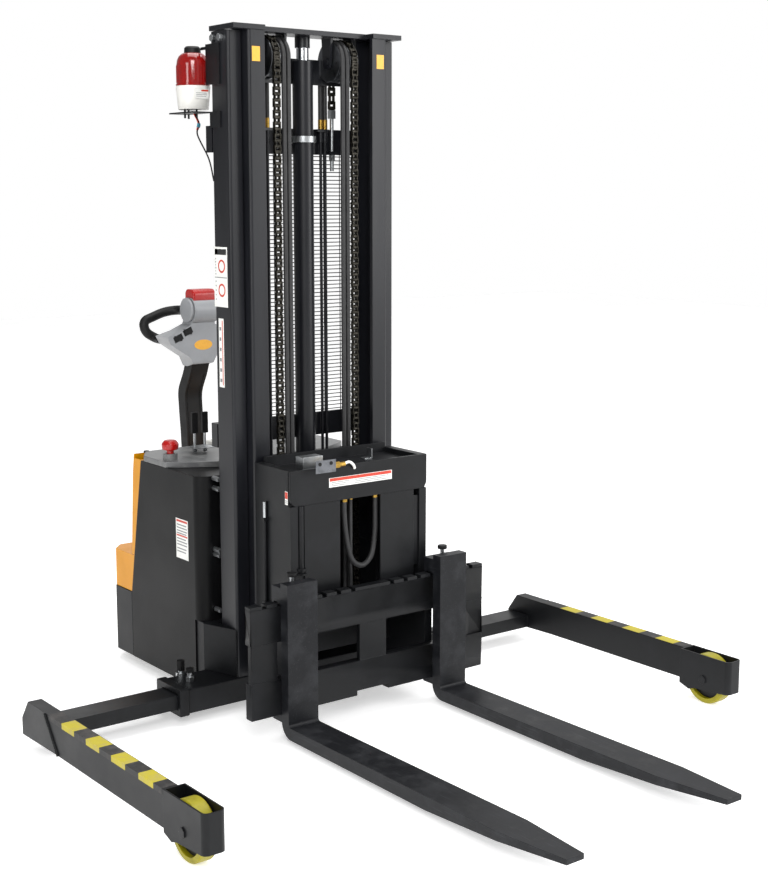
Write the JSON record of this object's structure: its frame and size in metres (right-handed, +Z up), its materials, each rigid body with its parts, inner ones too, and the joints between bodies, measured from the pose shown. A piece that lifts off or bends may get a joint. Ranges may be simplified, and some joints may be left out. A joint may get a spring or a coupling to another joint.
{
  "type": "walkie stacker",
  "caption": "Pedestrian straddle stacker with two-stage chain mast, notched fork carriage, telescoping legs, steered tiller and a rotating beacon.",
  "frame": {"origin": "on the floor below the middle of the machine's overall box", "axes": "+Z up, forks point along -Y, tiller at +Y, X = 0 is the centre plane between the forks"},
  "size_m": [1.844, 2.1855, 1.971],
  "materials": {
    "black_steel": "semi-gloss black enamel",
    "mast_steel": "semi-gloss black enamel",
    "fork_steel": "black enamel, worn at the blades",
    "yellow_cover": "satin amber-yellow moulding",
    "deck_grey": "light grey textured moulding",
    "black_plastic": "fine textured black",
    "head_silver": "silver-grey moulding",
    "red_plastic": "gloss red",
    "white_plastic": "gloss white",
    "beacon_red": "translucent red lens",
    "reflector_chrome": "mirror plated",
    "hard_chrome": "ground hard chrome",
    "zinc": "zinc plated",
    "chain_steel": "oiled steel",
    "roller_steel": "turned steel",
    "hose_rubber": "black hydraulic hose",
    "polyurethane": "yellow-green polyurethane tread",
    "drive_tyre": "black rubber"
  },
  "bodies": {
    "chassis": {"base_sleeve": "black_steel", "frame_bolts": "zinc", "chassis_frame": "black_steel", "outer_mast_frame": "mast_steel", "mesh_guard": "black_steel", "cylinder_barrel": "black_steel", "cylinder_clamp": "zinc", "mast_fittings": "zinc", "body_shell": "black_steel", "control_deck": "deck_grey", "rear_cover": "yellow_cover", "drive_hood": "yellow_cover", "battery": "black_plastic", "power_unit": "black_steel", "beacon_base": "white_plastic", "beacon_dome": "beacon_red", "beacon_bracket": "black_steel", "rear_chains": "chain_steel", "rear_hoses": "hose_rubber"},
    "inner_mast": {"inner_mast_frame": "mast_steel", "mast_head_beam": "mast_steel", "cylinder_rod": "hard_chrome", "front_chains": "chain_steel", "front_hoses": "hose_rubber"},
    "sheaves": {"head_sheaves": "roller_steel"},
    "beacon_rotor": {"beacon_reflector": "reflector_chrome"},
    "carriage": {"fork_bars": "black_steel", "carriage_frame": "black_steel", "carriage_top_plate": "black_steel", "carriage_panels": "black_steel", "hydraulic_blocks": "zinc", "carriage_hoses": "hose_rubber"},
    "mast_roller_set": {"mast_rollers": "roller_steel"},
    "carriage_roller_high_set": {"carriage_rollers_high": "roller_steel"},
    "carriage_roller_low_set": {"carriage_rollers_low": "roller_steel"},
    "left_fork": {"fork_left": "fork_steel"},
    "right_fork": {"fork_right": "fork_steel"},
    "left_pin": {"fork_pin_left": "zinc"},
    "right_pin": {"fork_pin_right": "zinc"},
    "left_leg": {"outrigger_left": "black_steel"},
    "right_leg": {"outrigger_right": "black_steel"},
    "left_load_wheel": {"load_wheel_left": "polyurethane"},
    "right_load_wheel": {"load_wheel_right": "polyurethane"},
    "drive": {"drive_unit": "black_steel"},
    "drive_wheel_body": {"drive_wheel": "drive_tyre"},
    "left_caster": {"caster_left": "zinc"},
    "right_caster": {"caster_right": "zinc"},
    "left_caster_wheel": {"caster_wheel_left": "polyurethane"},
    "right_caster_wheel": {"caster_wheel_right": "polyurethane"},
    "tiller": {"tiller_arm": "black_plastic", "tiller_head": "head_silver", "handle_loops": "black_plastic"},
    "belly_button_body": {"belly_button": "red_plastic"},
    "throttle_body": {"throttle": "head_silver"},
    "estop": {"estop_button": "red_plastic"},
    "lift_lever_body": {"lift_lever": "black_plastic"},
    "lower_lever_body": {"lower_lever": "black_plastic"},
    "lift_switch_body": {"lift_switch": "black_plastic"},
    "lower_switch_body": {"lower_switch": "black_plastic"},
    "key": {"key_switch": "zinc"}
  },
  "joints": [
    {"name": "mast_lift", "type": "slide", "parent": "chassis", "child": "inner_mast", "axis": [0, 0, 1], "range_m": [0, 1.468], "deforming": ["rear_chains", "rear_hoses"]},
    {"name": "carriage_lift", "type": "slide", "parent": "inner_mast", "child": "carriage", "axis": [0, 0, 1], "range_m": [0, 1.468], "deforming": ["front_chains", "front_hoses"]},
    {"name": "sheave_turn", "type": "hinge", "parent": "inner_mast", "child": "sheaves", "pos_m": [0, 0.34, 1.89], "axis": [-1, 0, 0], "continuous": true},
    {"name": "mast_roller_turn", "type": "hinge", "parent": "inner_mast", "child": "mast_roller_set", "pos_m": [0, 0.34, 0.175], "axis": [-1, 0, 0], "continuous": true},
    {"name": "carriage_roller_high_turn", "type": "hinge", "parent": "carriage", "child": "carriage_roller_high_set", "pos_m": [0, 0.308, 0.415], "axis": [1, 0, 0], "continuous": true},
    {"name": "carriage_roller_low_turn", "type": "hinge", "parent": "carriage", "child": "carriage_roller_low_set", "pos_m": [0, 0.308, 0.2], "axis": [-1, 0, 0], "continuous": true},
    {"name": "beacon_spin", "type": "hinge", "parent": "chassis", "child": "beacon_rotor", "pos_m": [-0.3, 0.462, 1.812], "axis": [0, 0, 1], "continuous": true},
    {"name": "left_fork_slide", "type": "slide", "parent": "carriage", "child": "left_fork", "axis": [-1, 0, 0], "range_m": [-0.15, 0.1]},
    {"name": "left_pin_drop", "type": "slide", "parent": "left_fork", "child": "left_pin", "axis": [0, 0, 1], "range_m": [-0.009, 0.006]},
    {"name": "left_leg_slide", "type": "slide", "parent": "chassis", "child": "left_leg", "axis": [1, 0, 0], "range_m": [0, 0.28]},
    {"name": "left_load_wheel_turn", "type": "hinge", "parent": "left_leg", "child": "left_load_wheel", "pos_m": [-0.888, -0.487, 0.075], "axis": [1, 0, 0], "continuous": true},
    {"name": "left_caster_swivel", "type": "hinge", "parent": "chassis", "child": "left_caster", "pos_m": [-0.235, 0.901, 0.15], "axis": [0, 0, 1], "continuous": true},
    {"name": "left_caster_wheel_turn", "type": "hinge", "parent": "left_caster", "child": "left_caster_wheel", "pos_m": [-0.235, 0.923, 0.06], "axis": [1, 0, 0], "continuous": true},
    {"name": "right_fork_slide", "type": "slide", "parent": "carriage", "child": "right_fork", "axis": [1, 0, 0], "range_m": [-0.15, 0.1]},
    {"name": "right_pin_drop", "type": "slide", "parent": "right_fork", "child": "right_pin", "axis": [0, 0, 1], "range_m": [-0.009, 0.006]},
    {"name": "right_leg_slide", "type": "slide", "parent": "chassis", "child": "right_leg", "axis": [-1, 0, 0], "range_m": [0, 0.28]},
    {"name": "right_load_wheel_turn", "type": "hinge", "parent": "right_leg", "child": "right_load_wheel", "pos_m": [0.888, -0.487, 0.075], "axis": [1, 0, 0], "continuous": true},
    {"name": "right_caster_swivel", "type": "hinge", "parent": "chassis", "child": "right_caster", "pos_m": [0.235, 0.901, 0.15], "axis": [0, 0, 1], "continuous": true},
    {"name": "right_caster_wheel_turn", "type": "hinge", "parent": "right_caster", "child": "right_caster_wheel", "pos_m": [0.235, 0.923, 0.06], "axis": [1, 0, 0], "continuous": true},
    {"name": "steering", "type": "hinge", "parent": "chassis", "child": "drive", "pos_m": [0, 0.918, 0.255], "axis": [0, 0, 1], "range_deg": [-90, 90]},
    {"name": "drive_wheel_turn", "type": "hinge", "parent": "drive", "child": "drive_wheel_body", "pos_m": [0, 0.918, 0.11], "axis": [1, 0, 0], "continuous": true},
    {"name": "tiller_tilt", "type": "hinge", "parent": "drive", "child": "tiller", "pos_m": [0, 0.936, 0.43], "axis": [-1, 0, 0], "range_deg": [0, 65], "stiffness_Nm_per_rad": 50, "springref_deg": -25.21},
    {"name": "belly_button_press", "type": "slide", "parent": "tiller", "child": "belly_button_body", "axis": [0, 0, -1], "range_m": [0, 0.008], "stiffness_N_per_m": 800, "springref_m": -0.002},
    {"name": "throttle_turn", "type": "hinge", "parent": "tiller", "child": "throttle_body", "pos_m": [0, 0.961, 1.135], "axis": [1, 0, 0], "range_deg": [-30, 30], "stiffness_Nm_per_rad": 1},
    {"name": "lift_switch_press", "type": "slide", "parent": "tiller", "child": "lift_switch_body", "axis": [0, 1, 0], "range_m": [0, 0.0025], "stiffness_N_per_m": 600, "springref_m": -0.001},
    {"name": "lower_switch_press", "type": "slide", "parent": "tiller", "child": "lower_switch_body", "axis": [0, 1, 0], "range_m": [0, 0.0025], "stiffness_N_per_m": 600, "springref_m": -0.001},
    {"name": "estop_press", "type": "slide", "parent": "chassis", "child": "estop", "axis": [0, 0, -1], "range_m": [0, 0.007]},
    {"name": "lift_lever_tilt", "type": "hinge", "parent": "chassis", "child": "lift_lever_body", "pos_m": [-0.176, 0.712, 0.716], "axis": [1, 0, 0], "range_deg": [-20, 20], "stiffness_Nm_per_rad": 2},
    {"name": "lower_lever_tilt", "type": "hinge", "parent": "chassis", "child": "lower_lever_body", "pos_m": [-0.142, 0.707, 0.716], "axis": [1, 0, 0], "range_deg": [-20, 20], "stiffness_Nm_per_rad": 2},
    {"name": "key_turn", "type": "hinge", "parent": "chassis", "child": "key", "pos_m": [0.18, 0.721, 0.708], "axis": [0, 0, 1], "range_deg": [0, 60]}
  ],
  "couplings": [
    {"joint": "carriage_lift", "follows": "mast_lift", "ratio": 1},
    {"joint": "sheave_turn", "follows": "mast_lift", "rad_per_m": 17.544},
    {"joint": "mast_roller_turn", "follows": "mast_lift", "rad_per_m": 30.303},
    {"joint": "carriage_roller_high_turn", "follows": "mast_lift", "rad_per_m": 30.303},
    {"joint": "carriage_roller_low_turn", "follows": "mast_lift", "rad_per_m": 30.303}
  ]
}
